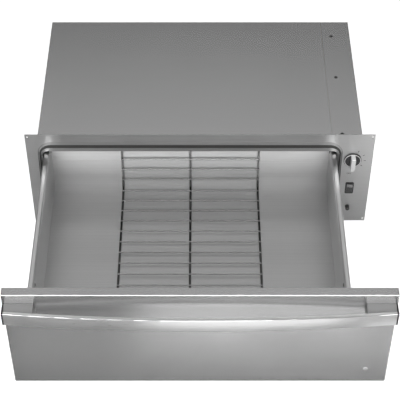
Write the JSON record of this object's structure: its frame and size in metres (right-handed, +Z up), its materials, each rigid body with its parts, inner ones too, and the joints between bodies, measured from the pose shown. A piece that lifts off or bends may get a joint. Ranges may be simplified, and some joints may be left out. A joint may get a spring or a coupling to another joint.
{
  "type": "built in warming drawer",
  "caption": "Built in warming drawer, pulled open: flanged sheet metal chassis, sliding pan with a wire rack, flat front with a bowed handle, and controls at the right of the flange.",
  "frame": {"origin": "centre of the four flange screw holes, on the back face of the front flange, where it meets the cabinet", "axes": "+X to the right seen from the front, +Y back into the cabinet, +Z up; the drawer opens towards -Y"},
  "size_m": [0.7556, 1.0099, 0.2774],
  "materials": {
    "bare_steel": "plain sheet steel",
    "stainless": "brushed stainless steel",
    "zinc": "cast zinc",
    "black_zinc": "steel with black zinc plating",
    "chrome": "bright chrome",
    "black_plastic": "matt black",
    "grey_rubber": "dark grey",
    "light_plastic": "satin light grey",
    "lens": "clear, slightly smoked",
    "insulation": "glass fibre board",
    "ceramic": "unglazed",
    "element": "dark heat coloured steel",
    "wiring": "sleeved wires"
  },
  "bodies": {
    "chassis": {"front_flange": "stainless", "opening_collar": "bare_steel", "rim_seal": "grey_rubber", "chassis_bottom": "bare_steel", "chassis_left_side": "bare_steel", "chassis_roof": "bare_steel", "control_cover": "bare_steel", "rear_panel": "bare_steel", "control_divider": "bare_steel", "liner_floor": "bare_steel", "liner_left": "bare_steel", "liner_right": "bare_steel", "liner_roof": "bare_steel", "liner_back": "bare_steel", "floor_insulation": "insulation", "side_insulation": "insulation", "roof_insulation": "insulation", "rear_insulation": "insulation", "heating_element": "element", "element_terminals": "ceramic", "element_brackets": "bare_steel", "heat_deflector": "bare_steel", "slide_outer": "black_zinc", "temperature_control": "black_plastic", "switch_housing": "black_plastic", "signal_lamp": "black_plastic", "signal_lens": "lens", "temperature_probe": "chrome", "thermal_cutout": "ceramic", "terminal_block": "ceramic", "junction_box": "bare_steel", "cable_gland": "black_plastic", "wiring_harness": "wiring", "cover_screws": "black_zinc"},
    "drawer": {"drawer_pan": "stainless", "drawer_side_left": "stainless", "drawer_side_right": "stainless", "pan_screws": "black_zinc", "front_panel": "stainless", "front_inner_panel": "bare_steel", "front_insulation": "insulation", "handle_bar": "stainless", "handle_blocks": "zinc", "handle_end_caps": "black_plastic", "handle_screws": "black_zinc", "light_pipe": "lens", "light_pipe_clip": "black_plastic", "closing_bumpers": "grey_rubber", "slide_inner": "black_zinc"},
    "slide_middles": {"slide_middle": "black_zinc"},
    "outer_cages": {"outer_ball_cage": "black_zinc"},
    "inner_cages": {"inner_ball_cage": "black_zinc"},
    "rack": {"rack_long_wires": "chrome", "rack_cross_wires": "chrome"},
    "knob": {"control_shaft": "black_zinc", "knob_dial": "black_plastic", "knob_rim": "chrome", "knob_grip": "light_plastic"},
    "rocker": {"switch_rocker": "black_plastic"}
  },
  "joints": [
    {"name": "drawer_slide", "type": "slide", "parent": "chassis", "child": "drawer", "axis": [0, 1, 0], "range_m": [0, 0.4353]},
    {"name": "middle_slide", "type": "slide", "parent": "chassis", "child": "slide_middles", "axis": [0, 1, 0], "range_m": [0, 0.21765]},
    {"name": "outer_cage_slide", "type": "slide", "parent": "chassis", "child": "outer_cages", "axis": [0, 1, 0], "range_m": [0, 0.10883]},
    {"name": "inner_cage_slide", "type": "slide", "parent": "chassis", "child": "inner_cages", "axis": [0, 1, 0], "range_m": [0, 0.32648]},
    {"name": "knob_turn", "type": "hinge", "parent": "chassis", "child": "knob", "pos_m": [0.334, 0, 0.0595], "axis": [0, 1, 0], "range_deg": [0, 225]},
    {"name": "rocker_press", "type": "hinge", "parent": "chassis", "child": "rocker", "pos_m": [0.334, 0.0015, -0.0265], "axis": [-1, 0, 0], "range_deg": [0, 12]},
    {"name": "rack_lift", "type": "slide", "parent": "drawer", "child": "rack", "axis": [0, 0, 1], "range_m": [0, 0.006]}
  ],
  "couplings": [
    {"joint": "middle_slide", "follows": "drawer_slide", "ratio": 0.5},
    {"joint": "outer_cage_slide", "follows": "drawer_slide", "ratio": 0.25},
    {"joint": "inner_cage_slide", "follows": "drawer_slide", "ratio": 0.75}
  ]
}
